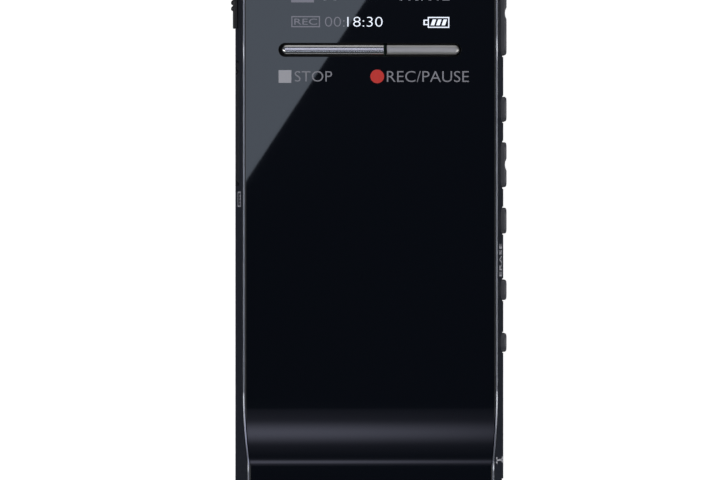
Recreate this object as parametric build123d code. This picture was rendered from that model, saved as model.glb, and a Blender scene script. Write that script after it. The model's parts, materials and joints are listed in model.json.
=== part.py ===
from build123d import *

import os
from math import copysign, cos, radians, sin

# A slim pocket voice recorder, in millimetres. It lies on its back: Z comes out of the display, Y runs
# towards the microphones, X to the display's right. The origin is under the middle, on the back face.

# ---- body -------------------------------------------------------------------------------------------
WIDTH = 24.7
LENGTH = 102.0
THICKNESS = 6.4
CORNER_R = 2.0
BACK_EDGE_R = 1.8
FACET_Z = 4.33  # the side walls lean in above this height
FACET_LEAN = 16.86  # degrees from upright
SWOOP_Y = -32.79  # the front surface starts to rise here, towards the thick bottom end
SWOOP_R = 15.4
SWOOP_TURN = 22.0  # degrees
CREST_R = 3.0
PARTING_Z = 2.2  # joint between the rear cover and the side frame
CAP_Y = 45.2  # joint between the top cap and the side frame
BEYOND = 80.0  # safely outside the body
HEADROOM = 12.0  # safely above the body
SPARE = 1.0  # how far a cut runs past the surface it opens

HALF_WIDTH = WIDTH / 2
HALF_LENGTH = LENGTH / 2
PAD_Z = THICKNESS + (SWOOP_R + CREST_R) * (1 - cos(radians(SWOOP_TURN)))

# ---- shells -----------------------------------------------------------------------------------------
FLOOR_Z = 0.8
CAVITY_X = 11.1
CAVITY_Y = 49.8
WALL_BITE = 0.2  # how far bosses and lugs run into the wall that carries them
TRIM_WIDTH = 0.2
TRIM_DEPTH = 0.4
POCKET_INSET = 0.21
PANEL_INSET = 0.24
PANEL_T = 0.9
PANEL_END_GAP = 0.05

# ---- general fits -----------------------------------------------------------------------------------
HOLE_CLEARANCE = 0.1
FIT_CLEARANCE = 0.01
RUNNING_CLEARANCE = 0.03

# ---- screws -----------------------------------------------------------------------------------------
CASE_SCREWS = [(x, y) for x in (-9.4, 9.4) for y in (-36.6, 42.2)]
CASE_SCREW_R = 0.7
CASE_SCREW_TIP_Z = 4.6
CASE_HEAD_R = 1.25
CASE_HEAD_Z = (0.15, 0.85)
CASE_BOSS_R = 1.5
CASE_BOSS_TOP = 5.4
COVER_BOSS_R = 2.0
RECESS_SLOT = 0.28
RECESS_REACH = 0.7  # of the head's radius
BOARD_SCREWS = [(x, y) for x in (-8.6, 8.6) for y in (-32.2, 38.4)]
BOARD_SCREW_R = 0.5
BOARD_HEAD_R = 0.95
BOARD_HEAD_T = 0.4
LUG_HALF_LENGTH = 1.1
LUG_INNER_X = 7.6
LUG_BOTTOM_Z = 2.4

# ---- boards -----------------------------------------------------------------------------------------
MAIN_X = (-10.2, 9.8)
MAIN_Y = (-34.5, 40.0)
MAIN_Z = (3.5, 4.1)
BOARD_CORNER_R = 1.0
IO_X = (-1.9, 10.9)
IO_Y = (-49.6, -38.6)
IO_Z = (1.8, 2.4)
IO_POSTS = [(0.5, -47.0), (4.5, -40.0)]
POST_R = 1.0
FLEX_T = 0.12
FLEX_LAP = 1.2  # how far a flex lies on the board it is soldered to
LINK_FLEX_X = (0.0, 5.0)
LINK_RAMP = 2.2
SHIELD_X = (-7.0, 7.0)
SHIELD_Y = (-30.0, -16.0)
SHIELD_TOP = 5.3
SHIELD_T = 0.15
PROCESSOR_SIDE = 9.0
PROCESSOR_T = 0.8
FLASH_X = (-6.0, 6.0)
FLASH_Y = (14.0, 32.0)
FLASH_T = 1.0

# ---- battery ----------------------------------------------------------------------------------------
BATTERY_X = (-8.3, 9.7)
BATTERY_Y = (-25.0, 9.0)
BATTERY_Z = (1.0, 3.3)
BATTERY_EDGE_R = 0.8
PAD_MARGIN = 1.6
LEAD_R = 0.3
LEAD_XS = (-0.6, 0.6)
LEAD_Z = 2.6
CONNECTOR_X = (-1.6, 1.6)
CONNECTOR_Y = (10.6, 12.8)
CONNECTOR_Z = (2.0, 3.5)

# ---- display ----------------------------------------------------------------------------------------
DISPLAY_X = (-9.1, 9.1)
DISPLAY_Y = (-0.1, 35.4)
DISPLAY_Z = (4.35, 5.35)
HOLDER_X = (-9.5, 9.5)
HOLDER_END = 36.0
HOLDER_TOP = 5.2
DISPLAY_FLEX_HALF = 4.0
FLEX_BEND = 0.6

# ---- metal bar with the stop and record buttons -----------------------------------------------------
BAR_Y = -1.19
BAR_WIDTH = 0.87
BAR_TOP = 6.9
BAR_EDGE_R = 0.3
STOP_X = (-8.15, 1.19)
RECORD_X = (1.51, 8.16)
SLOT_X = (-8.44, 8.34)
SLOT_WIDTH = 1.23
BAR_FLANGE_Z = (5.12, 5.45)
BAR_FLANGE_WIDTH = 1.5
BAR_FLANGE_OVERHANG = 0.5
SWITCH_XS = (-3.4, 4.9)
SWITCH_SIZE = (2.6, 1.2, 0.55)
PLUNGER_R = 0.35
PLUNGER_TOP = 4.85

# ---- keys on the right side -------------------------------------------------------------------------
KEY_OUT_X = 12.62
KEY_Z = (2.7, 5.1)
KEY_CORNER_R = 0.5
KEY_EDGE_R = 0.22
PRESS_KEYS = {
    "play_key": (-6.58, 2.3),
    "menu_key": (-16.86, 2.4),
    "erase_key": (-23.24, 1.9),
    "mark_key": (-28.1, 1.75),
}  # middle and length along Y
ROCKERS = {
    "volume_rocker": (2.25, 7.7, 2.9, 3.0),
    "skip_rocker": (-11.7, 4.15, 1.45, 3.5),
}  # middle, length, reach from the middle to each dome, tilt each way in degrees
ROCKER_CLEARANCE = 0.15
ROCKER_PIVOT_X = 10.75
ROCKER_PIVOT_R = 0.33
ROCKER_PLATE_X = (10.55, 10.85)
ROCKER_WAIST_R = 1.0
ROCKER_WAIST_DEPTH = 0.16
KEY_FLANGE_OUT_X = 11.05
KEY_FLANGE_SIDE = 0.4
KEY_FLANGE_RISE = 0.25
KEY_TRAVEL = 0.25
KEY_FLEX_X = (9.8, 9.95)
KEY_FLEX_Y = (-29.5, 6.0)
KEY_FLEX_Z = (2.9, 5.1)
DOME_T = 0.3
DOME_R = 0.9
DOME_EDGE_R = 0.28
DOME_TOP_X = KEY_FLEX_X[1] + DOME_T
DOME_Z = 3.9
NUB_R = 0.4

# ---- power and hold slider on the left side ---------------------------------------------------------
SLIDER_Y = (0.87, 9.87)
SLIDER_Z = (2.7, 4.9)
SLIDER_OUT_X = -12.6
SLIDER_LIFT = 0.04
FACET_INNER_X = 11.9  # the slider's grip hugs the body from here outwards
SLIDER_EDGE_R = 0.12
RIB_PEAK_X = -12.77
FIRST_RIB_Y = 2.7
RIB_PITCH = 0.55
RIB_COUNT = 12
RIB_R = 0.2
SLIDER_TRAVEL = 1.2
STEM_HALF = 1.0
STEM_Z = (3.3, 4.2)
SLIDER_FLANGE_X = (-11.05, -10.75)
SLIDER_FLANGE_HALF = 2.9
SLIDER_FLANGE_Z = (2.6, 4.9)
SLIDE_SWITCH_X = (-10.5, -8.5)
SLIDE_SWITCH_HALF = 2.2
SLIDE_SWITCH_Z = (2.3, 3.5)
LEVER_X = (-11.0, -9.2)
LEVER_HALF = 0.3
LEVER_Z = (2.7, 3.2)

# ---- memory card ------------------------------------------------------------------------------------
DOOR_PIVOT = (-11.5, -12.71)
DOOR_BARREL_R = 0.85
DOOR_END_Y = -2.3
DOOR_INNER_X = -11.45
DOOR_Z = (2.75, 5.2)
DOOR_Z_CLEARANCE = 0.05
DOOR_PIN_R = 0.3
DOOR_PIN_Z = (2.3, 5.45)
NAIL_GROOVE_Y = -3.1
NAIL_GROOVE_R = 0.3
CARD_SOCKET_X = (-10.15, 4.35)
CARD_SOCKET_Y = (-13.75, -2.05)
CARD_SOCKET_Z = (4.1, 5.3)
CARD_SLOT_X_END = 3.9
CARD_SLOT_HALF = 5.6
CARD_SLOT_Z = (4.35, 5.15)

# ---- sockets at the bottom end ----------------------------------------------------------------------
JACK_X = (-8.0, -2.0)
JACK_Y = (-49.8, -38.6)
JACK_Z = (1.9, 6.5)
JACK_AXIS_X = -5.0
JACK_AXIS_Z = 4.25
JACK_BORE_R = 1.8
JACK_TAIL_X = (-7.3, -2.7)
JACK_TAIL_Y = (-38.6, -35.8)
JACK_TAIL_Z = (2.3, 5.7)
JACK_TIP_R = 1.3
JACK_TIP_END = -36.2
JACK_REST_X = (-6.0, -4.0)
JACK_REST_Y = (-49.0, -39.5)
USB_X = (7.0, 12.0)
USB_Y = (-48.25, -40.75)
USB_Z = (2.4, 4.85)
USB_SHELL_T = 0.25
USB_CORNER_R = 0.5
USB_MOUTH_DEPTH = 4.2
USB_TONGUE_HALF = 2.6
USB_TONGUE_T = 0.6
USB_TONGUE_END = 11.4

# ---- strap bar --------------------------------------------------------------------------------------
STRAP_POCKET_X = (-13.0, -10.4)
STRAP_POCKET_Y = (-48.5, -45.5)
STRAP_POCKET_Z = (2.8, 5.2)
STRAP_BLOCK_X = (-11.2, -9.8)
STRAP_BLOCK_Y = (-49.9, -44.4)
STRAP_PIN_XY = (-11.75, -47.0)
STRAP_PIN_R = 0.5
STRAP_PIN_Z = (2.5, 5.5)

# ---- speaker and microphones ------------------------------------------------------------------------
SPEAKER_X = (-6.5, 6.5)
SPEAKER_Y = (-35.2, -26.2)
SPEAKER_Z = (0.9, 3.2)
SPEAKER_CORNER_R = 1.5
SPEAKER_SEAT = 0.3
CONE_SIZE = (11.0, 7.0)
CONE_DEPTH = 0.4
SOUND_HOLE_R = 0.45
SOUND_HOLE_PITCH = 1.6
SOUND_HOLE_ROWS = (5, 3)
MIC_X = 6.5
MIC_Z = 3.6
MIC_R = 1.5
MIC_Y = (47.72, 49.3)
BOOT_R = 1.85
BOOT_LIP = 0.3
GRILLE_SIZE = (6.4, 2.6)
GRILLE_Z = 3.9
GRILLE_T = 0.3
GRILLE_FACE_Y = 50.7
GRILLE_HOLE_R = 0.22
GRILLE_PITCH = 0.75
GRILLE_ROWS = (8, 3)
GRILLE_LEDGE = 0.35
MIC_FLEX_HALF = 7.8
MIC_FLEX_BOTTOM = 2.8
MIC_TAIL_HALF = 2.0
MIC_TAIL_START = 38.6
LENS_Y = 48.2
LENS_R = 0.7
LENS_Z = (5.1, 6.4)
CAP_TONGUE_X = (10.0, 11.05)
CAP_TONGUE_Y = (43.9, 45.5)
CAP_TONGUE_Z = (2.6, 5.0)


# ---- helpers ----------------------------------------------------------------------------------------
def block(x, y, z):
    """A box that fills these ranges of x, y and z."""
    size = [high - low for low, high in (x, y, z)]
    return Pos(mid(x), mid(y), mid(z)) * Box(*size)


def mid(span):
    return (span[0] + span[1]) / 2


def around(middle, half):
    return (middle - half, middle + half)


def widen(span, by):
    return (span[0] - by, span[1] + by)


def post(x, y, z, radius):
    """An upright cylinder over the range z."""
    return Pos(x, y, mid(z)) * Cylinder(radius, z[1] - z[0])


def rod_y(x, z, y, radius):
    """A cylinder along Y over the range y."""
    return Pos(x, mid(y), z) * Rot(90, 0, 0) * Cylinder(radius, y[1] - y[0])


def rod_x(y, z, x, radius):
    """A cylinder along X over the range x."""
    return Pos(mid(x), y, z) * Rot(0, 90, 0) * Cylinder(radius, x[1] - x[0])


def above_front(drop):
    """The space in front of the front surface, when that surface is moved back by drop."""
    with BuildPart() as space:
        with BuildSketch(Plane.YZ):
            with BuildLine():
                flat = Line((BEYOND, THICKNESS - drop), (SWOOP_Y, THICKNESS - drop))
                swoop = JernArc(flat @ 1, flat % 1, SWOOP_R, -SWOOP_TURN)
                crest = JernArc(swoop @ 1, swoop % 1, CREST_R, SWOOP_TURN)
                pad = Line(crest @ 1, (-BEYOND, PAD_Z - drop))
                Polyline(pad @ 1, (-BEYOND, 2 * HEADROOM), (BEYOND, 2 * HEADROOM), flat @ 0)
            make_face()
        extrude(amount=WIDTH, both=True)
    return space.part


def envelope(inset=0.0):
    """The recorder's outer form, drawn in by inset on all sides but not on the back."""
    outline = RectangleRounded(WIDTH - 2 * inset, LENGTH - 2 * inset, CORNER_R - inset)
    upright = extrude(outline, FACET_Z)
    leaning = Pos(0, 0, FACET_Z) * extrude(outline, HEADROOM - FACET_Z, taper=FACET_LEAN)
    if inset == 0:
        upright = fillet(upright.faces().sort_by(Axis.Z)[0].edges(), BACK_EDGE_R)
    return upright + leaning - above_front(0)


def between(solid, x=(-BEYOND, BEYOND), y=(-BEYOND, BEYOND), z=(-BEYOND, BEYOND)):
    """What the solid has inside these ranges."""
    return solid & block(x, y, z)


def band(points, x):
    """A flat flexible strip of thickness FLEX_T, whose lower face follows points in the YZ plane."""
    lower = [Vector(y, z) for y, z in points]
    upper = [Vector(y, z + FLEX_T) for y, z in reversed(points)]
    outline = make_face(Polyline(*lower, *upper, close=True))
    strip = extrude(Plane.YZ * outline, x[1] - x[0])
    return Pos(x[0], 0, 0) * strip


def side_plate(y, z, x, corner):
    """A plate across X with rounded corners, over these ranges."""
    outline = RectangleRounded(y[1] - y[0], z[1] - z[0], corner)
    plate = extrude(Plane.YZ * outline, x[1] - x[0])
    return Pos(x[0], mid(y), mid(z)) * plate


def key_span(middle, length):
    """The range of Y that a key's cap covers."""
    return around(middle, length / 2)


def to_wall(start, side):
    """The range of x from start to just inside the side wall that lies on this side."""
    return sorted((start, copysign(CAVITY_X + WALL_BITE, side)))


BODY = envelope()


# ---- shells -----------------------------------------------------------------------------------------
def rear_cover():
    cover = between(BODY, z=(0, PARTING_Z))
    cover -= block((-CAVITY_X, CAVITY_X), (-CAVITY_Y, CAVITY_Y), (FLOOR_Z, HEADROOM))
    for x, y in CASE_SCREWS:
        cover += post(x, y, (FLOOR_Z, PARTING_Z), COVER_BOSS_R) & BODY
    for x, y in IO_POSTS:
        cover += post(x, y, (FLOOR_Z, IO_Z[0]), POST_R)
    cover += block(JACK_REST_X, JACK_REST_Y, (FLOOR_Z, JACK_Z[0]))
    for x, y in CASE_SCREWS:
        cover -= post(x, y, (-SPARE, CASE_HEAD_Z[1]), CASE_HEAD_R + HOLE_CLEARANCE)
        cover -= post(x, y, (-SPARE, HEADROOM), CASE_SCREW_R + HOLE_CLEARANCE)
    speaker_y = mid(SPEAKER_Y)
    for spot in GridLocations(SOUND_HOLE_PITCH, SOUND_HOLE_PITCH, *SOUND_HOLE_ROWS):
        x, y, _ = spot.position
        cover -= post(x, y + speaker_y, (-SPARE, FLOOR_Z + SPARE), SOUND_HOLE_R)
    return cover


def side_openings():
    """Everything cut through the walls of the side frame."""
    wall = (CAVITY_X - WALL_BITE, HALF_WIDTH + WALL_BITE)
    left_wall = (-wall[1], -wall[0])
    cuts = []
    for middle, length in PRESS_KEYS.values():
        y = widen(key_span(middle, length), HOLE_CLEARANCE)
        cuts.append(side_plate(y, widen(KEY_Z, HOLE_CLEARANCE), wall, KEY_CORNER_R + HOLE_CLEARANCE))
    for middle, length, _, _ in ROCKERS.values():
        y = widen(key_span(middle, length), ROCKER_CLEARANCE)
        cuts.append(side_plate(y, widen(KEY_Z, HOLE_CLEARANCE), wall, KEY_CORNER_R))
    stem_half = STEM_HALF + SLIDER_TRAVEL + HOLE_CLEARANCE
    stem_y = around(mid(SLIDER_Y), stem_half)
    cuts.append(block(left_wall, stem_y, widen(STEM_Z, HOLE_CLEARANCE)))
    door_bottom = DOOR_PIVOT[1] - DOOR_BARREL_R - HOLE_CLEARANCE
    door_y = (door_bottom, DOOR_END_Y + HOLE_CLEARANCE)
    cuts.append(block(left_wall, door_y, widen(DOOR_Z, DOOR_Z_CLEARANCE)))
    cuts.append(post(*DOOR_PIVOT, DOOR_PIN_Z, DOOR_PIN_R + FIT_CLEARANCE))
    cuts.append(block(wall, widen(USB_Y, HOLE_CLEARANCE), widen(USB_Z, HOLE_CLEARANCE)))
    jack_wall = (-HALF_LENGTH - WALL_BITE, -CAVITY_Y + WALL_BITE)
    cuts.append(rod_y(JACK_AXIS_X, JACK_AXIS_Z, jack_wall, JACK_BORE_R))
    cuts.append(block(STRAP_POCKET_X, STRAP_POCKET_Y, STRAP_POCKET_Z))
    cuts.append(post(*STRAP_PIN_XY, STRAP_PIN_Z, STRAP_PIN_R + FIT_CLEARANCE))
    return cuts


def side_frame():
    wall = between(BODY, y=(-BEYOND, CAP_Y), z=(PARTING_Z, HEADROOM)) - above_front(TRIM_DEPTH)
    wall -= block((-CAVITY_X, CAVITY_X), (-CAVITY_Y, BEYOND), (0, HEADROOM))
    wall -= envelope(POCKET_INSET) & above_front(PANEL_T)
    strap_block = block(STRAP_BLOCK_X, STRAP_BLOCK_Y, (PARTING_Z, HEADROOM))
    wall += (strap_block & envelope(POCKET_INSET)) - above_front(PANEL_T)
    for x, y in CASE_SCREWS:
        boss = post(x, y, (PARTING_Z, CASE_BOSS_TOP), CASE_BOSS_R)
        web = block(to_wall(x, x), around(y, CASE_BOSS_R / 2), (PARTING_Z, CASE_BOSS_TOP))
        wall += boss + web
        wall -= post(x, y, (0, CASE_SCREW_TIP_Z + HOLE_CLEARANCE), CASE_SCREW_R + FIT_CLEARANCE)
    for x, y in BOARD_SCREWS:
        lug_x = to_wall(copysign(LUG_INNER_X, x), x)
        wall += block(lug_x, around(y, LUG_HALF_LENGTH), (LUG_BOTTOM_Z, MAIN_Z[0]))
        wall -= post(x, y, (0, MAIN_Z[0]), BOARD_SCREW_R + FIT_CLEARANCE)
    for cut in side_openings():
        wall -= cut
    return wall


def front_panel():
    panel = between(envelope(PANEL_INSET), y=(-BEYOND, CAP_Y - PANEL_END_GAP)) & above_front(PANEL_T)
    slot = extrude(SlotOverall(SLOT_X[1] - SLOT_X[0], SLOT_WIDTH), HEADROOM)
    return panel - Pos(mid(SLOT_X), BAR_Y, 0) * slot


def bezel_trim():
    ring = BODY - envelope(TRIM_WIDTH)
    return between(ring & above_front(TRIM_DEPTH), y=(-BEYOND, CAP_Y))


def grille_opening(side, margin, y):
    """A rounded opening along Y for a microphone grille, smaller than it by margin all round."""
    width, height = (size - 2 * margin for size in GRILLE_SIZE)
    outline = SlotOverall(width, height)
    return Pos(side * MIC_X, y[1], GRILLE_Z) * extrude(Plane.XZ * outline, y[1] - y[0])


def top_cap():
    cap = between(BODY, y=(CAP_Y, BEYOND), z=(PARTING_Z, HEADROOM))
    cap -= block((-CAVITY_X, CAVITY_X), (0, CAVITY_Y), (0, THICKNESS - PANEL_T))
    for side in (-1, 1):
        tongue_x = sorted(side * x for x in CAP_TONGUE_X)
        cap += block(tongue_x, CAP_TONGUE_Y, CAP_TONGUE_Z)
        root_x = to_wall(side * CAP_TONGUE_X[0], side)
        cap += block(root_x, (CAP_Y, CAP_TONGUE_Y[1]), CAP_TONGUE_Z)
        cap -= grille_opening(side, 0, (GRILLE_FACE_Y - GRILLE_T, HALF_LENGTH + SPARE))
        cap -= grille_opening(side, GRILLE_LEDGE, (CAVITY_Y - WALL_BITE, HALF_LENGTH + SPARE))
    return cap - post(0, LENS_Y, (0, HEADROOM), LENS_R + FIT_CLEARANCE)


def mic_grille(side):
    grille = grille_opening(side, FIT_CLEARANCE, (GRILLE_FACE_Y - GRILLE_T, GRILLE_FACE_Y))
    for spot in GridLocations(GRILLE_PITCH, GRILLE_PITCH, *GRILLE_ROWS):
        x, z, _ = spot.position
        through = (GRILLE_FACE_Y - 2 * GRILLE_T, HALF_LENGTH)
        grille -= rod_y(side * MIC_X + x, GRILLE_Z + z, through, GRILLE_HOLE_R)
    return grille


def indicator_lens():
    lens = post(0, LENS_Y, LENS_Z, LENS_R)
    brim = post(0, LENS_Y, (LENS_Z[0], THICKNESS - PANEL_T), LENS_R + GRILLE_LEDGE)
    return lens + brim


# ---- buttons in the metal bar -----------------------------------------------------------------------
def bar_button(x, outer_side):
    """One half of the metal bar: round at its outer end, square at the gap in the middle."""
    radius = BAR_WIDTH / 2
    square_x = (x[0] + radius, x[1]) if outer_side < 0 else (x[0], x[1] - radius)
    round_x = square_x[0] if outer_side < 0 else square_x[1]
    height = (BAR_FLANGE_Z[0], BAR_TOP)
    bar = block(square_x, around(BAR_Y, radius), height) + post(round_x, BAR_Y, height, radius)
    bar = fillet(bar.faces().sort_by(Axis.Z)[-1].edges(), BAR_EDGE_R)
    flange_x = (x[0] - BAR_FLANGE_OVERHANG, x[1]) if outer_side < 0 else (x[0], x[1] + BAR_FLANGE_OVERHANG)
    return bar + block(flange_x, around(BAR_Y, BAR_FLANGE_WIDTH / 2), BAR_FLANGE_Z)


def front_switches():
    switches = []
    for x in SWITCH_XS:
        width, depth, height = SWITCH_SIZE
        top = MAIN_Z[1] + height
        case = block(around(x, width / 2), around(BAR_Y, depth / 2), (MAIN_Z[1], top))
        switches.append(case + post(x, BAR_Y, (top, PLUNGER_TOP), PLUNGER_R))
    return Compound(switches)


# ---- keys on the right side -------------------------------------------------------------------------
def key_cap(middle, length, inner_x):
    cap = side_plate(key_span(middle, length), KEY_Z, (inner_x, KEY_OUT_X), KEY_CORNER_R)
    return fillet(cap.faces().sort_by(Axis.X)[-1].edges(), KEY_EDGE_R)


def press_key(middle, length):
    inner_x = DOME_TOP_X + KEY_TRAVEL + FIT_CLEARANCE
    flange_y = widen(key_span(middle, length), KEY_FLANGE_SIDE)
    flange = block((inner_x, KEY_FLANGE_OUT_X), flange_y, widen(KEY_Z, KEY_FLANGE_RISE))
    return key_cap(middle, length, inner_x) + flange


def rocker(middle, length, reach, tilt):
    waist_x = KEY_OUT_X + ROCKER_WAIST_R - ROCKER_WAIST_DEPTH
    cap = key_cap(middle, length, ROCKER_PLATE_X[0])
    cap -= post(waist_x, middle, widen(KEY_Z, SPARE), ROCKER_WAIST_R)
    tall = widen(KEY_Z, KEY_FLANGE_RISE)
    plate = block(ROCKER_PLATE_X, key_span(middle, length), tall)
    pivot = post(ROCKER_PIVOT_X, middle, tall, ROCKER_PIVOT_R)
    nub_tip = DOME_TOP_X + reach * sin(radians(tilt)) + FIT_CLEARANCE
    for y in (middle - reach, middle + reach):
        cap += rod_x(y, DOME_Z, (nub_tip, ROCKER_PLATE_X[1]), NUB_R)
    return cap + plate + pivot


def side_key_domes():
    places = [middle for middle, _ in PRESS_KEYS.values()]
    for middle, _, reach, _ in ROCKERS.values():
        places += [middle - reach, middle + reach]
    domes = []
    for y in places:
        dome = rod_x(y, DOME_Z, (KEY_FLEX_X[1], DOME_TOP_X), DOME_R)
        domes.append(fillet(dome.edges().sort_by(Axis.X)[-1], DOME_EDGE_R))
    return Compound(domes)


# ---- power and hold slider --------------------------------------------------------------------------
def power_hold_slider():
    grip_x = (SLIDER_OUT_X, -FACET_INNER_X)
    grip = block(grip_x, SLIDER_Y, SLIDER_Z)
    grip = fillet(grip.faces().sort_by(Axis.X)[0].edges(), SLIDER_EDGE_R)
    middle = mid(SLIDER_Y)
    for count in range(RIB_COUNT):
        y = FIRST_RIB_Y + count * RIB_PITCH
        grip += post(RIB_PEAK_X + RIB_R, y, widen(SLIDER_Z, -SLIDER_EDGE_R), RIB_R)
    grip -= envelope(-SLIDER_LIFT)
    stem = block((SLIDER_OUT_X + RIB_R, SLIDER_FLANGE_X[1]), around(middle, STEM_HALF), STEM_Z)
    flange = block(SLIDER_FLANGE_X, around(middle, SLIDER_FLANGE_HALF), SLIDER_FLANGE_Z)
    fork_y = around(middle, LEVER_HALF + FIT_CLEARANCE)
    fork = block(SLIDER_FLANGE_X, fork_y, widen(LEVER_Z, FIT_CLEARANCE))
    return grip + stem + flange - fork


def slide_switch():
    middle = mid(SLIDER_Y)
    case = block(SLIDE_SWITCH_X, around(middle, SLIDE_SWITCH_HALF), SLIDE_SWITCH_Z)
    track_half = LEVER_HALF + SLIDER_TRAVEL + HOLE_CLEARANCE
    track_x = (SLIDE_SWITCH_X[0], LEVER_X[1] + HOLE_CLEARANCE)
    return case - block(track_x, around(middle, track_half), widen(LEVER_Z, HOLE_CLEARANCE / 2))


def slide_switch_lever():
    return block(LEVER_X, around(mid(SLIDER_Y), LEVER_HALF), LEVER_Z)


# ---- memory card ------------------------------------------------------------------------------------
def card_door():
    plate = between(BODY, (-BEYOND, DOOR_INNER_X), (DOOR_PIVOT[1], DOOR_END_Y), DOOR_Z)
    barrel = BODY & post(*DOOR_PIVOT, DOOR_Z, DOOR_BARREL_R)
    groove = post(-HALF_WIDTH, NAIL_GROOVE_Y, widen(DOOR_Z, SPARE), NAIL_GROOVE_R)
    pin_hole = post(*DOOR_PIVOT, widen(DOOR_Z, SPARE), DOOR_PIN_R + RUNNING_CLEARANCE)
    return plate + barrel - groove - pin_hole


def microsd_socket():
    shell = block(CARD_SOCKET_X, CARD_SOCKET_Y, CARD_SOCKET_Z)
    middle = mid(CARD_SOCKET_Y)
    mouth_x = (CARD_SOCKET_X[0], CARD_SLOT_X_END)
    return shell - block(mouth_x, around(middle, CARD_SLOT_HALF), CARD_SLOT_Z)


# ---- boards -----------------------------------------------------------------------------------------
def main_pcb():
    board = block(MAIN_X, MAIN_Y, MAIN_Z)
    board = fillet(board.edges().filter_by(Axis.Z), BOARD_CORNER_R)
    for x, y in BOARD_SCREWS:
        board -= post(x, y, MAIN_Z, BOARD_SCREW_R + HOLE_CLEARANCE)
    return board


def soc_shield():
    can = block(SHIELD_X, SHIELD_Y, (MAIN_Z[1], SHIELD_TOP))
    inside_z = (MAIN_Z[1], SHIELD_TOP - SHIELD_T)
    return can - block(widen(SHIELD_X, -SHIELD_T), widen(SHIELD_Y, -SHIELD_T), inside_z)


def processor():
    half = PROCESSOR_SIDE / 2
    z = (MAIN_Z[1], MAIN_Z[1] + PROCESSOR_T)
    return block(around(mid(SHIELD_X), half), around(mid(SHIELD_Y), half), z)


def link_flex():
    lift = MAIN_Z[0] - FLEX_T
    edge = IO_Y[1]
    low_run = [(edge - FLEX_LAP, IO_Z[1]), (edge, IO_Z[1])]
    high_run = [(edge + LINK_RAMP, lift), (MAIN_Y[0] + FLEX_LAP, lift)]
    return band(low_run + high_run, LINK_FLEX_X)


# ---- battery ----------------------------------------------------------------------------------------
def battery():
    cell = block(BATTERY_X, BATTERY_Y, BATTERY_Z)
    return fillet(cell.edges().filter_by(Axis.Y), BATTERY_EDGE_R)


def battery_pad():
    margin = -PAD_MARGIN
    return block(widen(BATTERY_X, margin), widen(BATTERY_Y, margin), (FLOOR_Z, BATTERY_Z[0]))


def battery_leads():
    run = (BATTERY_Y[1], CONNECTOR_Y[0])
    return Compound([rod_y(x, LEAD_Z, run, LEAD_R) for x in LEAD_XS])


# ---- display ----------------------------------------------------------------------------------------
def display_holder():
    y = (DISPLAY_Y[0], HOLDER_END)
    tray = block(HOLDER_X, y, (MAIN_Z[1], HOLDER_TOP))
    tray -= block(DISPLAY_X, (y[0], DISPLAY_Y[1]), (DISPLAY_Z[0], HEADROOM))
    flex_x = around(0, DISPLAY_FLEX_HALF + HOLE_CLEARANCE)
    return tray - block(flex_x, (DISPLAY_Y[1], HOLDER_END), (DISPLAY_Z[0], HEADROOM))


def display_flex():
    start_z, board = DISPLAY_Z[0] + FLEX_T, MAIN_Z[1]
    bend = HOLDER_END + FLEX_BEND
    path = [(DISPLAY_Y[1], start_z), (bend, start_z), (bend + FLEX_BEND, board)]
    path.append((bend + FLEX_BEND + FLEX_LAP, board))
    return band(path, around(0, DISPLAY_FLEX_HALF))


# ---- sockets ----------------------------------------------------------------------------------------
def headphone_jack():
    jack = block(JACK_X, JACK_Y, JACK_Z) + block(JACK_TAIL_X, JACK_TAIL_Y, JACK_TAIL_Z)
    jack -= rod_y(JACK_AXIS_X, JACK_AXIS_Z, JACK_Y, JACK_BORE_R)
    return jack - rod_y(JACK_AXIS_X, JACK_AXIS_Z, (JACK_Y[0], JACK_TIP_END), JACK_TIP_R)


def usb_socket():
    shell = block(USB_X, USB_Y, USB_Z)
    shell = fillet(shell.edges().filter_by(Axis.X), USB_CORNER_R)
    mouth_x = (USB_X[1] - USB_MOUTH_DEPTH, USB_X[1])
    shell -= block(mouth_x, widen(USB_Y, -USB_SHELL_T), widen(USB_Z, -USB_SHELL_T))
    tongue_x = (mouth_x[0], USB_TONGUE_END)
    tongue_z = around(mid(USB_Z), USB_TONGUE_T / 2)
    return shell + block(tongue_x, around(mid(USB_Y), USB_TONGUE_HALF), tongue_z)


# ---- speaker and microphones ------------------------------------------------------------------------
def speaker():
    case = block(SPEAKER_X, SPEAKER_Y, SPEAKER_Z)
    case = fillet(case.edges().filter_by(Axis.Z), SPEAKER_CORNER_R)
    cone = extrude(SlotOverall(*CONE_SIZE), CONE_DEPTH)
    return case - Pos(mid(SPEAKER_X), mid(SPEAKER_Y), SPEAKER_Z[0]) * cone


def speaker_mesh():
    seat = -SPEAKER_SEAT
    return block(widen(SPEAKER_X, seat), widen(SPEAKER_Y, seat), (FLOOR_Z, SPEAKER_Z[0]))


def microphone(side):
    return rod_y(side * MIC_X, MIC_Z, MIC_Y, MIC_R)


def mic_boot(side):
    length = (MIC_Y[0] + BOOT_LIP, CAVITY_Y)
    sleeve = rod_y(side * MIC_X, MIC_Z, length, BOOT_R)
    sleeve -= rod_y(side * MIC_X, MIC_Z, (MIC_Y[0], MIC_Y[1]), MIC_R)
    return sleeve - rod_y(side * MIC_X, MIC_Z, (MIC_Y[0], CAVITY_Y), MIC_R - BOOT_LIP)


def microphone_flex():
    wall_y = (MIC_Y[0] - FLEX_T, MIC_Y[0])
    upright = block(around(0, MIC_FLEX_HALF), wall_y, (MIC_FLEX_BOTTOM, MAIN_Z[1] + FLEX_T))
    tail = block(around(0, MIC_TAIL_HALF), (MIC_TAIL_START, wall_y[1]), (MAIN_Z[1], MAIN_Z[1] + FLEX_T))
    return upright + tail


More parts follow.
